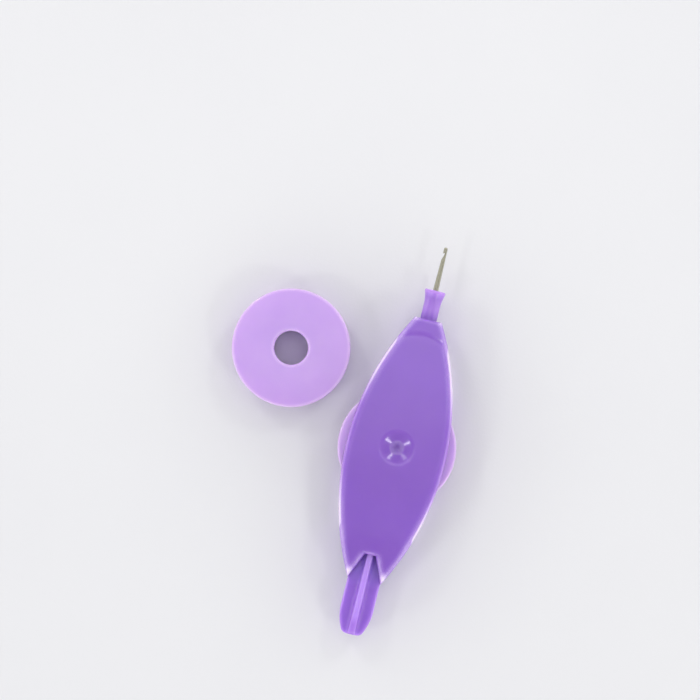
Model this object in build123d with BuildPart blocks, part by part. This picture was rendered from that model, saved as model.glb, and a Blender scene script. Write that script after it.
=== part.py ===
from build123d import *
import math
import os

# A tatting shuttle that lies flat, with a bobbin between its blades and a spare bobbin beside it.
# Lengths are in millimetres. The origin is on the axis that the loaded bobbin turns about, in the
# plane that everything rests on. +Y runs to the hook, +X to the right and +Z up through the blades.

# Bobbins
bobbin_diameter = 25.4
bobbin_height = 7.5
bobbin_bore = 7.26
hub_diameter = 10.2
hub_fillet = 0.5
spigot_wall = 0.75
flange_thickness = 1.0
flange_flat_diameter = 17.0
flange_droop = 0.12
rim_rounding = 0.35
bore_chamfer = 0.3
spare_bobbin_x = -27.1
spare_bobbin_y = 15.3

# Blades, seen from above
blade_half_width = 10.8
blade_side_radius = 58.9
widest_point_back = 1.2
hook_end = 28.2
prong_end = 29.4
notch_apex = 23.6
notch_apex_half_width = 1.15

# Blades, seen from the side
blade_wall = 1.5
nose_crest = 24.7
nose_end_drop = 2.0
nose_crest_softening = 4.0
tail_crest = 20.8
prong_end_drop = 2.9
tail_crest_softening = 8.0
edge_rounding = 1.2
cavity_hook_end = 23.8
cavity_tail_end = 20.2
cavity_rounding = 2.5

# Centring stud inside each blade, and the dimple behind it
stud_height = 1.8
stud_land = 1.0
stud_tip_diameter = 5.8
dimple_diameter = 7.0
dimple_depth = 1.6
pit_diameter = 3.2
pit_depth = 0.85
pit_floor_diameter = 0.9
pit_floor_rounding = 1.2
dimple_lip_rounding = 2.5

# Hook holder
collar_diameter = 3.6
collar_length = 6.4
lip_diameter = 4.5
lip_length = 0.5
lip_flare_length = 3.0
lip_rounding = 0.25
holder_neck_length = 1.5
holder_key_width = 4.4
holder_key_length = 1.6

# Crochet hook
hook_diameter = 1.1
hook_set_depth = 5.2
hook_reach = 9.5
hook_parallel_length = 1.2
hook_head_diameter = 0.8
hook_head_length = 1.2
hook_nose_rounding = 0.3
throat_length = 1.5
throat_floor_length = 0.35
throat_neck = 0.42
throat_undercut = 0.5

# Bobbin winder
winder_reach = 41.2
winder_root = 21.4
winder_nose_length = 6.0
winder_nose_radius = 12.0
winder_tip_rounding = 1.5
fin_edge_thickness = 1.28
fin_edge_rounding = 0.45
fin_root_thickness = 1.6
fin_fillet = 1.0
winder_key_width = 9.2
winder_key_thickness = 2.4
winder_key_length = 1.2

# Clearances
bobbin_side_clearance = 0.35
stud_clearance = 0.08
winder_clearance = 0.05
seat_clearance = 0.02
overrun = 3.0

# How far the crest of the nose bows to the hook, as a share of the blade's half-width there
nose_crest_bow_share = 0.4

# A face whose normal rises by less than this share of its length counts as upright
upright_share = 0.3

# Sizes and places that follow
inner_height = bobbin_height / 2 + bobbin_side_clearance
half_thickness = inner_height + blade_wall
winder_radius = bobbin_bore / 2 - winder_clearance
hook_tip = hook_end + collar_length + hook_reach
parting = Plane.XY.offset(half_thickness)
side_centre = blade_side_radius - blade_half_width
spin_axis = Axis((0, 0, 0), (0, 0, 1))
long_axis = Axis((0, 0, half_thickness), (0, 1, 0))
side_view = Plane((0, 0, half_thickness), x_dir=(0, 1, 0), z_dir=(1, 0, 0))

os.makedirs("parts", exist_ok=True)


def across(y):
    """The plane across the shuttle at y, centred on the parting line and facing the tail."""
    return Plane((0, y, half_thickness), x_dir=(1, 0, 0), z_dir=(0, -1, 0))


def upright(x, y, height):
    """The plane in which a profile about a vertical axis is drawn as radius and height."""
    return Plane((x, y, height), x_dir=(1, 0, 0), z_dir=(0, -1, 0))


def side_x(y):
    """Half the blade's width at y: each long edge is an arc of one radius."""
    return math.sqrt(blade_side_radius**2 - (y + widest_point_back) ** 2) - side_centre


def winder_section(extra):
    """The winder's cross: tapered arms with rounded tips and filleted corners, grown by extra."""
    root = fin_root_thickness / 2 + extra
    edge = fin_edge_thickness / 2 + extra
    reach = winder_radius + extra
    with BuildSketch() as section:
        with PolarLocations(0, 4):
            Polygon((0, 0), (root, root), (edge, reach), (-edge, reach), (-root, root), align=None)
        corners = section.vertices().filter_by(lambda v: math.hypot(v.X, v.Y) < winder_radius / 2)
        fillet(corners, radius=fin_fillet - extra)
        tips = section.vertices().filter_by(lambda v: math.hypot(v.X, v.Y) > winder_radius)
        fillet(tips, radius=fin_edge_rounding + extra)
    return section.sketch


def rim(blade):
    """The edges between a blade's outer faces and its walls."""
    outer = blade.faces().filter_by(lambda f: f.normal_at(f.center()).Z > upright_share)
    walls = blade.faces().filter_by(lambda f: abs(f.normal_at(f.center()).Z) < upright_share)
    return outer.edges() & walls.edges()


def save(builder, name):
    builder.part.label = name
    export_step(builder.part, f"parts/{name}.step")


# Upper blade: an upright wall with the leaf's outline, whose outer face is then cut down at both ends
with BuildPart() as upper_blade:
    with BuildSketch(parting):
        with Locations((-side_centre, -widest_point_back)):
            Circle(blade_side_radius)
        with Locations((side_centre, -widest_point_back)):
            Circle(blade_side_radius, mode=Mode.INTERSECT)
        with Locations((0, hook_end)):
            Rectangle(
                2 * blade_half_width, hook_end, align=(Align.CENTER, Align.MIN), mode=Mode.SUBTRACT
            )
        Polygon(
            (-notch_apex_half_width, -notch_apex),
            (notch_apex_half_width, -notch_apex),
            (side_x(-prong_end), -prong_end),
            (0, -2 * prong_end),
            (-side_x(-prong_end), -prong_end),
            align=None,
            mode=Mode.SUBTRACT,
        )
    extrude(amount=half_thickness)

    # The outer face falls to the prongs in a plane, and to the hook end in a cone.
    tail_run = prong_end - tail_crest
    with BuildSketch(side_view):
        Polygon(
            (-tail_crest, half_thickness),
            (-tail_crest - 2 * tail_run, half_thickness - 2 * prong_end_drop),
            (-tail_crest - 2 * tail_run, half_thickness + overrun),
            (-tail_crest, half_thickness + overrun),
            align=None,
        )
    extrude(amount=blade_half_width, both=True, mode=Mode.SUBTRACT)
    nose_run = hook_end - nose_crest
    nose_crest_bow = nose_crest_bow_share * side_x(nose_crest)
    nose_crest_chord = side_x(nose_crest - nose_crest_bow)
    nose_crest_radius = (nose_crest_chord**2 + nose_crest_bow**2) / (2 * nose_crest_bow)
    nose_centre = nose_crest - nose_crest_radius
    with BuildSketch(upright(0, nose_centre, half_thickness)):
        Polygon(
            (nose_crest_radius, half_thickness),
            (nose_crest_radius + 2 * nose_run, half_thickness - 2 * nose_end_drop),
            (nose_crest_radius + 2 * nose_run, half_thickness + overrun),
            (nose_crest_radius, half_thickness + overrun),
            align=None,
        )
    revolve(axis=Axis((0, nose_centre, 0), (0, 0, 1)), revolution_arc=180, mode=Mode.SUBTRACT)

    # Both crests are softened, and then every outer edge is rounded over.
    flat = upper_blade.faces().sort_by(Axis.Z)[-1]
    fillet(flat.edges().sort_by(Axis.Y)[-1], radius=nose_crest_softening)
    flat = upper_blade.faces().sort_by(Axis.Z)[-1]
    fillet(flat.edges().sort_by(Axis.Y)[0], radius=tail_crest_softening)
    fillet(rim(upper_blade), radius=edge_rounding)

    # Room for the bobbin, open to both sides, with rounded inner corners
    with BuildSketch(side_view) as cavity:
        with Locations(((cavity_hook_end - cavity_tail_end) / 2, 0)):
            Rectangle(cavity_hook_end + cavity_tail_end, 2 * inner_height)
        fillet(cavity.vertices(), radius=cavity_rounding)
    extrude(amount=blade_half_width, both=True, mode=Mode.SUBTRACT)

    # The stud that centres the bobbin, and the dimple behind it
    stud_radius = bobbin_bore / 2 - stud_clearance
    with BuildSketch(upright(0, 0, half_thickness)):
        Polygon(
            (0, inner_height + blade_wall / 2),
            (stud_radius, inner_height + blade_wall / 2),
            (stud_radius, inner_height - stud_land),
            (stud_tip_diameter / 2, inner_height - stud_height),
            (0, inner_height - stud_height),
            align=None,
        )
    revolve(axis=spin_axis)
    with BuildSketch(upright(0, 0, half_thickness)) as dimple:
        Polygon(
            (0, half_thickness),
            (dimple_diameter / 2, half_thickness),
            (pit_diameter / 2, half_thickness - dimple_depth + pit_depth),
            (pit_floor_diameter / 2, half_thickness - dimple_depth),
            (0, half_thickness - dimple_depth),
            align=None,
        )
        floor_corner = dimple.vertices().filter_by(lambda v: v.X > 0).sort_by(Axis.Y)[0]
        fillet(floor_corner, radius=pit_floor_rounding)
    revolve(axis=spin_axis, mode=Mode.SUBTRACT)
    mouth = upper_blade.edges().filter_by(GeomType.CIRCLE).filter_by(
        lambda e: abs(e.radius - dimple_diameter / 2) < seat_clearance
    )
    fillet(mouth.sort_by(Axis.Z)[-1], radius=dimple_lip_rounding)

    # Seats for the keyed ends of the hook holder and the winder
    with BuildSketch(across(hook_end)):
        Circle(collar_diameter / 2 + seat_clearance)
    extrude(amount=holder_neck_length, mode=Mode.SUBTRACT)
    with BuildSketch(across(hook_end - holder_neck_length + seat_clearance)):
        Rectangle(holder_key_width + 2 * seat_clearance, holder_key_width + 2 * seat_clearance)
    extrude(amount=holder_key_length + 2 * seat_clearance, mode=Mode.SUBTRACT)
    with BuildSketch(across(-winder_root + seat_clearance)):
        Rectangle(winder_key_width + 2 * seat_clearance, winder_key_thickness + 2 * seat_clearance)
    extrude(amount=winder_key_length + 2 * seat_clearance, mode=Mode.SUBTRACT)
    with BuildSketch(across(-winder_root + seat_clearance)):
        add(winder_section(seat_clearance))
    extrude(amount=winder_reach - winder_root, mode=Mode.SUBTRACT)
save(upper_blade, "upper_blade")

# Lower blade: the same shell, mirrored
with BuildPart() as lower_blade:
    mirror(upper_blade.part, about=parting)
save(lower_blade, "lower_blade")

# Hook holder: a turned collar with a flared lip, on a neck and a square key held between the blades
with BuildPart() as hook_holder:
    collar_end = hook_end + collar_length
    neck_start = (collar_diameter / 2, hook_end - holder_neck_length)
    flare_start = (collar_diameter / 2, collar_end - lip_length - lip_flare_length)
    flare_end = (lip_diameter / 2, collar_end - lip_length)
    with BuildSketch(parting) as collar:
        with BuildLine():
            Polyline((0, collar_end), (0, hook_end - holder_neck_length), neck_start, flare_start)
            TangentArc(flare_start, flare_end, tangent=(0, 1))
            Polyline(flare_end, (lip_diameter / 2, collar_end), (0, collar_end))
        make_face()
        lip = collar.vertices().filter_by(lambda v: v.X > collar_diameter / 2 + seat_clearance)
        fillet(lip, radius=lip_rounding)
    revolve(axis=long_axis)
    with BuildSketch(across(hook_end - holder_neck_length)):
        Rectangle(holder_key_width, holder_key_width)
    extrude(amount=holder_key_length)
    with BuildSketch(across(collar_end)):
        Circle(hook_diameter / 2 + seat_clearance)
    extrude(amount=hook_set_depth, mode=Mode.SUBTRACT)
save(hook_holder, "hook_holder")

# Crochet hook: a tapered steel pin with a throat cut behind its head
with BuildPart() as crochet_hook:
    with BuildSketch(parting) as pin:
        Polygon(
            (0, collar_end - hook_set_depth),
            (hook_diameter / 2, collar_end - hook_set_depth),
            (hook_diameter / 2, collar_end + hook_parallel_length),
            (hook_head_diameter / 2, hook_tip - hook_head_length),
            (hook_head_diameter / 2, hook_tip),
            (0, hook_tip),
            align=None,
        )
        nose = pin.vertices().filter_by(lambda v: v.X > 0).sort_by(Axis.Y)[-1]
        fillet(nose, radius=hook_nose_rounding)
    revolve(axis=long_axis)
    throat_floor = hook_head_diameter / 2 - throat_neck
    throat_end = hook_tip - hook_head_length
    with BuildSketch(parting):
        Polygon(
            (throat_floor, throat_end - throat_floor_length),
            (throat_floor, throat_end),
            (-hook_diameter, throat_end - throat_undercut),
            (-hook_diameter, throat_end - throat_length),
            (-hook_head_diameter / 2, throat_end - throat_length),
            align=None,
        )
    extrude(amount=hook_diameter, both=True, mode=Mode.SUBTRACT)
save(crochet_hook, "crochet_hook")

# Bobbin winder: a cross turned down to a blunt nose, with a flat key held between the blades
with BuildPart() as bobbin_winder:
    with BuildSketch(across(-winder_root)):
        add(winder_section(0))
    extrude(amount=winder_reach - winder_root)
    with BuildSketch(parting) as envelope:
        clear = winder_radius + seat_clearance
        nose_start = (clear, winder_nose_length - winder_reach)
        nose_width_lost = winder_nose_radius - math.sqrt(winder_nose_radius**2 - winder_nose_length**2)
        nose_end = (clear - nose_width_lost, -winder_reach)
        with BuildLine():
            Polyline((0, -winder_reach), (0, -winder_root), (clear, -winder_root), nose_start)
            RadiusArc(nose_start, nose_end, winder_nose_radius)
            Line(nose_end, (0, -winder_reach))
        make_face()
        tip = envelope.vertices().filter_by(lambda v: v.X > 0).sort_by(Axis.Y)[0]
        fillet(tip, radius=winder_tip_rounding)
    revolve(axis=long_axis, mode=Mode.INTERSECT)
    with BuildSketch(across(-winder_root)):
        Rectangle(winder_key_width, winder_key_thickness)
    extrude(amount=winder_key_length)
save(bobbin_winder, "bobbin_winder")

# Bobbins: a hub with one flange, and a second flange pressed on the spigot at its lower end
half_height = bobbin_height / 2
hub_end = half_height - flange_thickness
rim_radius = bobbin_diameter / 2
spigot_radius = bobbin_bore / 2 + spigot_wall
bobbins = {"loaded": (0, 0, half_thickness), "spare": (spare_bobbin_x, spare_bobbin_y, half_height)}
for place, (x, y, middle) in bobbins.items():
    bobbin_axis = Axis((x, y, middle), (0, 0, 1))
    with BuildPart() as spool:
        with BuildSketch(upright(x, y, middle)) as half:
            Polygon(
                (bobbin_bore / 2, -half_height),
                (spigot_radius, -half_height),
                (spigot_radius, -hub_end),
                (hub_diameter / 2, -hub_end),
                (hub_diameter / 2, hub_end),
                (rim_radius, hub_end),
                (rim_radius, half_height - flange_droop),
                (flange_flat_diameter / 2, half_height),
                (bobbin_bore / 2, half_height),
                align=None,
            )
            at_hub = half.vertices().group_by(Axis.X)[2]
            fillet(at_hub.sort_by(Axis.Y)[-1], radius=hub_fillet)
            fillet(half.vertices().group_by(Axis.X)[-1], radius=rim_rounding)
            chamfer(half.vertices().group_by(Axis.X)[0], length=bore_chamfer)
        revolve(axis=bobbin_axis)
    save(spool, f"{place}_bobbin_spool")

    with BuildPart() as flange:
        with BuildSketch(upright(x, y, middle)) as half:
            Polygon(
                (spigot_radius + seat_clearance, -half_height),
                (flange_flat_diameter / 2, -half_height),
                (rim_radius, -half_height + flange_droop),
                (rim_radius, -hub_end),
                (spigot_radius + seat_clearance, -hub_end),
                align=None,
            )
            fillet(half.vertices().group_by(Axis.X)[-1], radius=rim_rounding)
        revolve(axis=bobbin_axis)
    save(flange, f"{place}_bobbin_flange")
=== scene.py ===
import math

import bpy
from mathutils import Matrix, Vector


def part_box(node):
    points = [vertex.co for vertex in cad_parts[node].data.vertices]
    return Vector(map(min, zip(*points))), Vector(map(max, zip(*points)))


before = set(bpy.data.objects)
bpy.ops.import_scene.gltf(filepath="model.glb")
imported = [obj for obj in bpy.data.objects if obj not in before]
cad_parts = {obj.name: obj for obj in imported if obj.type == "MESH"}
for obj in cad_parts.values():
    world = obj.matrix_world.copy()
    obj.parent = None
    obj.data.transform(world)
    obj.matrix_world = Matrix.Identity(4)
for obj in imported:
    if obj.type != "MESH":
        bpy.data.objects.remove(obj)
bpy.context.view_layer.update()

# A flat tatting shuttle, seen from straight above, with its spare bobbin beside it.
# Lengths are in metres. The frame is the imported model's: +Y to the hook, +Z up.

MM = 0.001

# The picture: what it spans at the height of the upper blade, where its middle is and how it is turned
picture_width = 149.4 * MM
picture_middle = (-14.75 * MM, 17.87 * MM)
picture_turn = math.radians(13.9)
camera_height = 1500 * MM
sensor_width = 36 * MM
nearest_seen = 10 * MM
farthest_seen = 10000 * MM
blade_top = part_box("upper_blade")[1].z

# Four soft boxes round the object, by their bearing in the picture in degrees
lamp_bearings = (47, 127, 208, 317)
lamp_distance = 700 * MM
lamp_elevation = math.radians(45)
lamp_size = 110 * MM
lamp_power = 0.4

# A panel over the hook end
panel_height = 350 * MM
panel_length = 160 * MM
panel_width = 260 * MM
panel_power = 0.14

# Surroundings: an even fill overhead, and a brighter band up to a height above the horizon
fill_strength = 0.45
band_strength = 1.75
band_top = 0.35
band_fade = 0.3
backdrop_strength = 0.9

# Colours, linear: of a plastic, its two tones and a lighter one painted where it is thin, a painted glow
shuttle_purple = ((0.245, 0.098, 0.55, 1), (0.23, 0.089, 0.527, 1), (0.52, 0.30, 0.82, 1))
winder_purple = ((0.335, 0.148, 0.66, 1), (0.315, 0.135, 0.635, 1), (0.44, 0.265, 0.79, 1))
bobbin_lilac = ((0.54, 0.345, 0.76, 1), (0.50, 0.315, 0.73, 1), (0.74, 0.56, 0.90, 1))
# A pale lilac painted on the blades' rims, a painted highlight
rim_highlight_lilac = (0.80, 0.66, 0.95, 1)
steel = (0.42, 0.41, 0.33, 1)
steel_deep = (0.30, 0.29, 0.22, 1)
floor_tone = (0.80, 0.80, 0.82, 1)
floor_tone_deep = (0.76, 0.76, 0.785, 1)
white = (1, 1, 1, 1)

# Moulded plastic: its flow marks, scuffs and ripples, and the range of noise that the marks are made from
flow_grain = 14 * MM
scuff_grain = 0.8 * MM
scuff_dulling = 0.02
ripple_grain = 2.5 * MM
ripple_depth = 0.012 * MM
marks_low = 0.35
marks_high = 0.65
plastic_ior = 1.52
coat_roughness = 0.12

# The light that passes under its surface: how much, how deep, and how far each colour goes
glow_share = 0.6
glow_depth = 2.5 * MM
glow_colours = (1.0, 0.7, 1.2)

# Each plastic: how deep it is looked into for thin places, how rough it is and how thick its gloss is.
# A place is thinnest where only the thin share of that depth is filled; thin places are painted lighter, a
# painted glow.
thin_share = 0.4
blade_thin = 1.3 * MM
blade_roughness = 0.24
blade_coat = 0.7
holder_thin = 1.7 * MM
holder_roughness = 0.3
holder_coat = 0.3
winder_thin = 0.9 * MM
winder_roughness = 0.4
winder_coat = 0.15
bobbin_thin = 0.8 * MM
bobbin_roughness = 0.3
bobbin_coat = 0.7

# Where light is painted into the winder's colour: a painted glow from the shuttle's long axis out to its
# fins, and painted light toward its root, against the shade under the notch
axis_height = blade_top / 2
fin_light_from = 2.9 * MM
fin_light_full = 3.45 * MM
root_light_from = 31 * MM
root_light_full = 27 * MM

# Where a painted highlight lies on a blade's rim: by how far it is along and across, how far out it faces,
# and how little plastic is below it
rim_along_from = 7 * MM
rim_along_full = 15 * MM
rim_across_from = 1.2 * MM
rim_across_full = 2.4 * MM
rim_outward_from = 0.6 * MM
rim_outward_full = 1.6 * MM
rim_below_from = 0.95
rim_below_full = 0.76

# Drawn steel
line_grain = 0.12 * MM
line_stretch = 0.04
line_depth = 0.004 * MM
line_low = 0.3
line_high = 0.7
steel_gloss = 0.22
steel_dull = 0.38

# The floor, a hair below the face that the shuttle rests on
floor_half = 1500 * MM
floor_drop = 0.02 * MM
cloud_grain = 60 * MM
paper_grain = 0.6 * MM
paper_depth = 0.02 * MM
paper_roughness = 0.7


def new_material(name):
    """An empty node material with its shader, and the object's own coordinates in metres."""
    material = bpy.data.materials.new(name)
    material.use_nodes = True
    nodes, links = material.node_tree.nodes, material.node_tree.links
    shader = nodes["Principled BSDF"]
    place = nodes.new("ShaderNodeTexCoord").outputs["Object"]
    return material, nodes, links, shader, place


def noise(nodes, links, place, grain, detail):
    """A noise whose features are about one grain wide."""
    node = nodes.new("ShaderNodeTexNoise")
    node.inputs["Scale"].default_value = 1 / grain
    node.inputs["Detail"].default_value = detail
    links.new(place, node.inputs["Vector"])
    return node.outputs["Fac"]


def spread(nodes, links, value, low, high, out_low, out_high):
    """Stretch a value from the range low..high to out_low..out_high."""
    node = nodes.new("ShaderNodeMapRange")
    for name, number in (("From Min", low), ("From Max", high), ("To Min", out_low), ("To Max", out_high)):
        node.inputs[name].default_value = number
    links.new(value, node.inputs["Value"])
    return node.outputs["Result"]


def joined(nodes, links, operation, first, second):
    """Two values joined by an operation."""
    node = nodes.new("ShaderNodeMath")
    node.operation = operation
    links.new(first, node.inputs[0])
    links.new(second, node.inputs[1])
    return node.outputs["Value"]


def blend(nodes, links, factor, first, second):
    """A colour that moves with the factor from first, a colour or an output, to the second colour."""
    node = nodes.new("ShaderNodeMix")
    node.data_type = "RGBA"
    if isinstance(first, tuple):
        node.inputs["A"].default_value = first
    else:
        links.new(first, node.inputs["A"])
    node.inputs["B"].default_value = second
    links.new(factor, node.inputs["Factor"])
    return node.outputs["Result"]


def bump(nodes, links, height, depth):
    """A bump of that depth."""
    node = nodes.new("ShaderNodeBump")
    node.inputs["Strength"].default_value = 1
    node.inputs["Distance"].default_value = depth
    links.new(height, node.inputs["Height"])
    return node.outputs["Normal"]


def plastic_below(nodes, links, depth):
    """How much plastic lies below the surface: 1 where it is deeper than depth, less at thin edges."""
    node = nodes.new("ShaderNodeAmbientOcclusion")
    node.inside = True
    node.only_local = True
    node.inputs["Distance"].default_value = depth
    return node.outputs["AO"]


def from_middle(nodes, links, place):
    """A point's place from the shuttle's middle, on its long axis."""
    node = nodes.new("ShaderNodeVectorMath")
    node.operation = "SUBTRACT"
    node.inputs[1].default_value = (0, 0, axis_height)
    links.new(place, node.inputs[0])
    return node.outputs["Vector"]


def parts_of(nodes, links, vector):
    """The three parts of a vector."""
    node = nodes.new("ShaderNodeSeparateXYZ")
    links.new(vector, node.inputs["Vector"])
    return node.outputs["X"], node.outputs["Y"], node.outputs["Z"]


def distances(nodes, links, place):
    """How far a point is from the shuttle's middle across, along and up or down, whichever the side."""
    node = nodes.new("ShaderNodeVectorMath")
    node.operation = "ABSOLUTE"
    links.new(from_middle(nodes, links, place), node.inputs[0])
    return parts_of(nodes, links, node.outputs["Vector"])


def facing_out(nodes, links, place):
    """How far a point is above or below the long axis, times how squarely it faces away from it."""
    node = nodes.new("ShaderNodeVectorMath")
    node.operation = "MULTIPLY"
    links.new(from_middle(nodes, links, place), node.inputs[0])
    links.new(place.node.outputs["Normal"], node.inputs[1])
    return parts_of(nodes, links, node.outputs["Vector"])[2]


def winder_painted_light(nodes, links, place):
    """Where light is painted into the winder's colour: a painted glow along the outer edges of its four
    fins, and painted light at its root that lifts the shade under the notch.
    """
    across, along, up = distances(nodes, links, place)
    reach = joined(nodes, links, "MAXIMUM", across, up)
    edges = spread(nodes, links, reach, fin_light_from, fin_light_full, 0, 1)
    root = spread(nodes, links, along, root_light_from, root_light_full, 0, 1)
    return joined(nodes, links, "MAXIMUM", edges, root)


def rim_painted_highlight(nodes, links, place, below):
    """Where a painted highlight lies on a blade's rounded outer rim: toward nose and prongs, but not in
    the notch's end.
    """
    across, along, _ = distances(nodes, links, place)
    outward = facing_out(nodes, links, place)
    rim = spread(nodes, links, along, rim_along_from, rim_along_full, 0, 1)
    for value, low, high in (
        (outward, rim_outward_from, rim_outward_full),
        (across, rim_across_from, rim_across_full),
        (below, rim_below_from, rim_below_full),
    ):
        rim = joined(nodes, links, "MULTIPLY", rim, spread(nodes, links, value, low, high, 0, 1))
    return rim


def moulded_plastic(name, tones, thin_depth, roughness, coat, lit=None, rim=None):
    """Glossy plastic that lets a little light in, with flow marks, faint ripples and fine scuffs, and with
    its colour painted lighter where it is thin, a painted glow.

    lit gives the places where light is painted into its colour, and rim those where a painted highlight
    lies on its rim.
    """
    material, nodes, links, shader, place = new_material(name)
    tone, deep_tone, thin_glow_tone = tones
    flow = noise(nodes, links, place, flow_grain, detail=3)
    flow = spread(nodes, links, flow, marks_low, marks_high, 0, 1)
    below = plastic_below(nodes, links, thin_depth)
    thin = spread(nodes, links, below, 1, thin_share, 0, 1)
    # Painted light in the winder joins the painted glow
    if lit:
        thin = joined(nodes, links, "MAXIMUM", thin, lit(nodes, links, place))
    # Painted glow: thin places, and the places that lit gives, are painted in the lighter tone
    colour = blend(nodes, links, thin, blend(nodes, links, flow, deep_tone, tone), thin_glow_tone)
    # Painted highlight: the rim places are painted pale lilac
    if rim:
        colour = blend(nodes, links, rim(nodes, links, place, below), colour, rim_highlight_lilac)
    links.new(colour, shader.inputs["Base Color"])
    scuff = noise(nodes, links, place, scuff_grain, detail=3)
    scuff = spread(nodes, links, scuff, marks_low, marks_high, roughness, roughness + scuff_dulling)
    links.new(scuff, shader.inputs["Roughness"])
    ripple = noise(nodes, links, place, ripple_grain, detail=1)
    links.new(bump(nodes, links, ripple, ripple_depth), shader.inputs["Normal"])
    shader.inputs["IOR"].default_value = plastic_ior
    shader.inputs["Coat Weight"].default_value = coat
    shader.inputs["Coat Roughness"].default_value = coat_roughness
    shader.inputs["Subsurface Weight"].default_value = glow_share
    shader.inputs["Subsurface Scale"].default_value = glow_depth
    shader.inputs["Subsurface Radius"].default_value = glow_colours
    return material


def drawn_steel(name):
    """Steel wire with fine lines drawn along it and a dull patch here and there."""
    material, nodes, links, shader, place = new_material(name)
    stretch = nodes.new("ShaderNodeMapping")
    stretch.inputs["Scale"].default_value = (1, line_stretch, 1)
    links.new(place, stretch.inputs["Vector"])
    lines = noise(nodes, links, stretch.outputs["Vector"], line_grain, detail=3)
    links.new(blend(nodes, links, lines, steel_deep, steel), shader.inputs["Base Color"])
    dulling = spread(nodes, links, lines, line_low, line_high, steel_gloss, steel_dull)
    links.new(dulling, shader.inputs["Roughness"])
    links.new(bump(nodes, links, lines, line_depth), shader.inputs["Normal"])
    shader.inputs["Metallic"].default_value = 1
    return material


def paper_floor(name):
    """A pale matt surface with a faint grain."""
    material, nodes, links, shader, place = new_material(name)
    cloud = noise(nodes, links, place, cloud_grain, detail=4)
    links.new(blend(nodes, links, cloud, floor_tone_deep, floor_tone), shader.inputs["Base Color"])
    grain = noise(nodes, links, place, paper_grain, detail=4)
    links.new(bump(nodes, links, grain, paper_depth), shader.inputs["Normal"])
    shader.inputs["Roughness"].default_value = paper_roughness
    return material


def dress(names, material):
    """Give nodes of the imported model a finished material."""
    for name in names:
        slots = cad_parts[name].data.materials
        slots.clear()
        slots.append(material)


def area_lamp(name, width, length, power):
    """A rectangular area lamp that the camera doesn't see."""
    lamp = bpy.data.lights.new(name, "AREA")
    lamp.shape = "RECTANGLE"
    lamp.size = width
    lamp.size_y = length
    lamp.energy = power
    thing = bpy.data.objects.new(name, lamp)
    thing.visible_camera = False
    bpy.context.scene.collection.objects.link(thing)
    return thing


def soft_box(name, picture_bearing):
    """A square lamp at a bearing in the picture, turned to the object."""
    bearing = picture_turn + math.radians(picture_bearing)
    out = lamp_distance * math.cos(lamp_elevation)
    thing = area_lamp(name, lamp_size, lamp_size, lamp_power)
    thing.location = (
        picture_middle[0] + out * math.cos(bearing),
        picture_middle[1] + out * math.sin(bearing),
        lamp_distance * math.sin(lamp_elevation),
    )
    to_object = Vector((*picture_middle, 0)) - thing.location
    thing.rotation_euler = to_object.to_track_quat("-Z", "Y").to_euler()


def end_panel(name):
    """A lamp that lies level over the hook end."""
    ahead = picture_turn + math.radians(90)
    out = panel_length / 2
    thing = area_lamp(name, panel_width, panel_length, panel_power)
    thing.location = (out * math.cos(ahead), out * math.sin(ahead), panel_height)
    thing.rotation_euler = (0, 0, picture_turn)


def make_camera():
    """A long lens straight above the object, turned as the picture is."""
    lens = bpy.data.cameras.new("camera")
    lens.sensor_width = sensor_width / MM
    lens.lens = lens.sensor_width * (camera_height - blade_top) / picture_width
    lens.clip_start = nearest_seen
    lens.clip_end = farthest_seen
    camera = bpy.data.objects.new("camera", lens)
    camera.location = (*picture_middle, camera_height)
    camera.rotation_euler = (0, 0, picture_turn)
    bpy.context.scene.collection.objects.link(camera)
    bpy.context.scene.camera = camera


def make_lamps():
    """Soft boxes at the picture's four diagonals and a panel over its far end."""
    for number, picture_bearing in enumerate(lamp_bearings):
        soft_box(f"soft_box_{number}", picture_bearing)
    end_panel("end_panel")


def make_surroundings():
    """Light from all round: even overhead, and brighter in a band just above the horizon."""
    world = bpy.data.worlds.new("world")
    world.use_nodes = True
    nodes, links = world.node_tree.nodes, world.node_tree.links
    direction = nodes.new("ShaderNodeTexCoord").outputs["Generated"]
    height = parts_of(nodes, links, direction)[2]
    strength = spread(nodes, links, height, band_top, band_top + band_fade, band_strength, fill_strength)
    seen = nodes.new("ShaderNodeMix")
    seen.inputs["B"].default_value = backdrop_strength
    links.new(nodes.new("ShaderNodeLightPath").outputs["Is Camera Ray"], seen.inputs["Factor"])
    links.new(strength, seen.inputs["A"])
    nodes["Background"].inputs["Color"].default_value = white
    links.new(seen.outputs["Result"], nodes["Background"].inputs["Strength"])
    bpy.context.scene.world = world


def make_floor():
    """The surface that everything lies on."""
    mesh = bpy.data.meshes.new("floor")
    corners = [(x * floor_half, y * floor_half, 0) for x, y in ((-1, -1), (1, -1), (1, 1), (-1, 1))]
    mesh.from_pydata(corners, [], [(0, 1, 2, 3)])
    mesh.materials.append(paper_floor("floor_paper"))
    floor = bpy.data.objects.new("floor", mesh)
    floor.location.z = -floor_drop
    bpy.context.scene.collection.objects.link(floor)


def dress_object():
    """The blades, the holder and the winder in purple, the bobbins in lilac, and the hook in steel."""
    blade = moulded_plastic(
        "blade_plastic", shuttle_purple, blade_thin, blade_roughness, blade_coat, rim=rim_painted_highlight
    )
    holder = moulded_plastic(
        "holder_plastic", shuttle_purple, holder_thin, holder_roughness, holder_coat
    )
    winder = moulded_plastic(
        "winder_plastic", winder_purple, winder_thin, winder_roughness, winder_coat, lit=winder_painted_light
    )
    bobbin = moulded_plastic(
        "bobbin_plastic", bobbin_lilac, bobbin_thin, bobbin_roughness, bobbin_coat
    )
    dress(("upper_blade", "lower_blade"), blade)
    dress(("hook_holder",), holder)
    dress(("bobbin_winder",), winder)
    dress(("loaded_bobbin_spool", "loaded_bobbin_flange"), bobbin)
    dress(("spare_bobbin_spool", "spare_bobbin_flange"), bobbin)
    dress(("crochet_hook",), drawn_steel("drawn_steel"))


make_camera()
make_lamps()
make_surroundings()
make_floor()
dress_object()
bpy.context.scene.view_settings.view_transform = "Standard"
